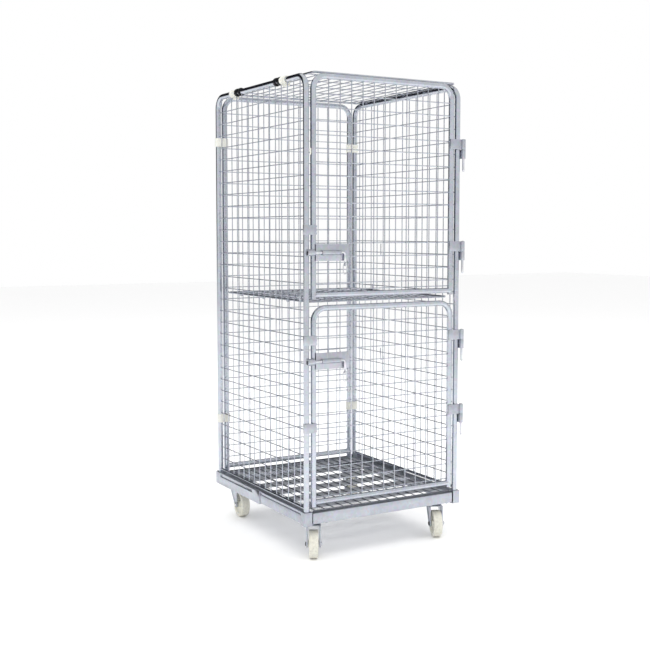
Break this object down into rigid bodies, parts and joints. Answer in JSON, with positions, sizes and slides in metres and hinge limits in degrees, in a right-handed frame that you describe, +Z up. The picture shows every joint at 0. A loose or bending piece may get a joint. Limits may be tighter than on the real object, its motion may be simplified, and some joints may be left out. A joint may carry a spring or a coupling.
{
  "type": "roll cage container",
  "caption": "Lockable mesh roll cage with two front doors on lift-out hinge pins, bolts, a hinged roof lid, a fold-up shelf and swivel casters.",
  "frame": {"origin": "on the floor, under the middle of the cage's overall box", "axes": "+X right along the front, +Y from the doors to the back, +Z up"},
  "size_m": [0.736, 0.8356, 1.8353],
  "materials": {
    "zinc_tube": "satin",
    "bright_wire": "bright",
    "cream_clip": "satin",
    "cream_wheel": "satin",
    "dark_bolt": "satin"
  },
  "bodies": {
    "cage": {"back_panel": "zinc_tube", "left_panel": "zinc_tube", "right_panel": "zinc_tube", "deck_slats": "zinc_tube", "front_rail": "zinc_tube", "rear_rail": "zinc_tube", "left_rail": "zinc_tube", "right_rail": "zinc_tube", "upper_keeper": "zinc_tube", "lower_keeper": "zinc_tube", "corner_bracket_fl": "zinc_tube", "corner_bracket_fr": "zinc_tube", "corner_bracket_rl": "zinc_tube", "corner_bracket_rr": "zinc_tube", "caster_plate_fl": "zinc_tube", "caster_plate_fr": "zinc_tube", "caster_plate_rl": "zinc_tube", "caster_plate_rr": "zinc_tube", "upper_hinge_lug_1": "zinc_tube", "upper_hinge_lug_2": "zinc_tube", "upper_hinge_pin_1": "zinc_tube", "upper_hinge_pin_2": "zinc_tube", "lower_hinge_lug_1": "zinc_tube", "lower_hinge_lug_2": "zinc_tube", "lower_hinge_pin_1": "zinc_tube", "lower_hinge_pin_2": "zinc_tube", "deck_wires": "bright_wire", "shelf_rod": "bright_wire", "hold_back_hook_upper": "bright_wire", "hold_back_hook_lower": "bright_wire", "lid_clip_front": "cream_clip", "lid_clip_rear": "cream_clip", "door_buffer": "cream_clip", "corner_clip_left_upper": "cream_clip", "corner_clip_left_lower": "cream_clip", "corner_clip_right_upper": "cream_clip", "corner_clip_right_lower": "cream_clip"},
    "upper_door": {"upper_door": "zinc_tube", "upper_latch_plate": "zinc_tube"},
    "lower_door": {"lower_door": "zinc_tube", "lower_latch_plate": "zinc_tube"},
    "upper_bolt": {"upper_bolt": "bright_wire"},
    "lower_bolt": {"lower_bolt": "bright_wire"},
    "upper_ring": {"upper_pull_ring": "bright_wire"},
    "lower_ring": {"lower_pull_ring": "bright_wire"},
    "lid": {"lid": "bright_wire"},
    "shelf": {"shelf": "bright_wire"},
    "swivel_fl": {"caster_fork_fl": "zinc_tube", "caster_axle_fl": "dark_bolt"},
    "wheel_fl": {"caster_wheel_fl": "cream_wheel"},
    "swivel_fr": {"caster_fork_fr": "zinc_tube", "caster_axle_fr": "dark_bolt"},
    "wheel_fr": {"caster_wheel_fr": "cream_wheel"},
    "swivel_rl": {"caster_fork_rl": "zinc_tube", "caster_axle_rl": "dark_bolt"},
    "wheel_rl": {"caster_wheel_rl": "cream_wheel"},
    "swivel_rr": {"caster_fork_rr": "zinc_tube", "caster_axle_rr": "dark_bolt"},
    "wheel_rr": {"caster_wheel_rr": "cream_wheel"}
  },
  "joints": [
    {"name": "upper_door_hinge", "type": "hinge", "parent": "cage", "child": "upper_door", "pos_m": [0.35946, -0.39525, 1.411], "axis": [0, 0, 1], "range_deg": [0, 265]},
    {"name": "upper_bolt_slide", "type": "slide", "parent": "upper_door", "child": "upper_bolt", "axis": [1, 0, 0], "range_m": [-0.012, 0.02]},
    {"name": "upper_ring_swing", "type": "hinge", "parent": "upper_bolt", "child": "upper_ring", "pos_m": [-0.19754, -0.40525, 1.1209], "axis": [-1, 0, 0], "range_deg": [-15, 95]},
    {"name": "lower_door_hinge", "type": "hinge", "parent": "cage", "child": "lower_door", "pos_m": [0.35946, -0.39525, 0.589], "axis": [0, 0, 1], "range_deg": [0, 265]},
    {"name": "lower_bolt_slide", "type": "slide", "parent": "lower_door", "child": "lower_bolt", "axis": [1, 0, 0], "range_m": [-0.012, 0.02]},
    {"name": "lower_ring_swing", "type": "hinge", "parent": "lower_bolt", "child": "lower_ring", "pos_m": [-0.19754, -0.40525, 0.7149], "axis": [-1, 0, 0], "range_deg": [-15, 95]},
    {"name": "lid_hinge", "type": "hinge", "parent": "cage", "child": "lid", "pos_m": [-0.35104, 0.01025, 1.815], "axis": [0, -1, 0], "range_deg": [0, 230]},
    {"name": "shelf_fold", "type": "hinge", "parent": "cage", "child": "shelf", "pos_m": [-0.33104, 0.01025, 0.98], "axis": [0, -1, 0], "range_deg": [0, 85]},
    {"name": "caster_fl_swivel", "type": "hinge", "parent": "cage", "child": "swivel_fl", "pos_m": [-0.29104, -0.32775, 0.1265], "axis": [0, 0, 1], "continuous": true},
    {"name": "wheel_fl_spin", "type": "hinge", "parent": "swivel_fl", "child": "wheel_fl", "pos_m": [-0.30849, -0.35924, 0.054], "axis": [-0.8746, 0.4848, 0], "continuous": true},
    {"name": "caster_fr_swivel", "type": "hinge", "parent": "cage", "child": "swivel_fr", "pos_m": [0.27896, -0.32775, 0.1265], "axis": [0, 0, 1], "continuous": true},
    {"name": "wheel_fr_spin", "type": "hinge", "parent": "swivel_fr", "child": "wheel_fr", "pos_m": [0.26432, -0.36064, 0.054], "axis": [-0.9135, 0.4067, 0], "continuous": true},
    {"name": "caster_rl_swivel", "type": "hinge", "parent": "cage", "child": "swivel_rl", "pos_m": [-0.29104, 0.34825, 0.1265], "axis": [0, 0, 1], "continuous": true},
    {"name": "wheel_rl_spin", "type": "hinge", "parent": "swivel_rl", "child": "wheel_rl", "pos_m": [-0.29292, 0.3123, 0.054], "axis": [-0.9986, 0.0523, 0], "continuous": true},
    {"name": "caster_rr_swivel", "type": "hinge", "parent": "cage", "child": "swivel_rr", "pos_m": [0.27896, 0.34825, 0.1265], "axis": [0, 0, 1], "continuous": true},
    {"name": "wheel_rr_spin", "type": "hinge", "parent": "swivel_rr", "child": "wheel_rr", "pos_m": [0.26904, 0.31365, 0.054], "axis": [-0.9613, 0.2756, 0], "continuous": true}
  ]
}
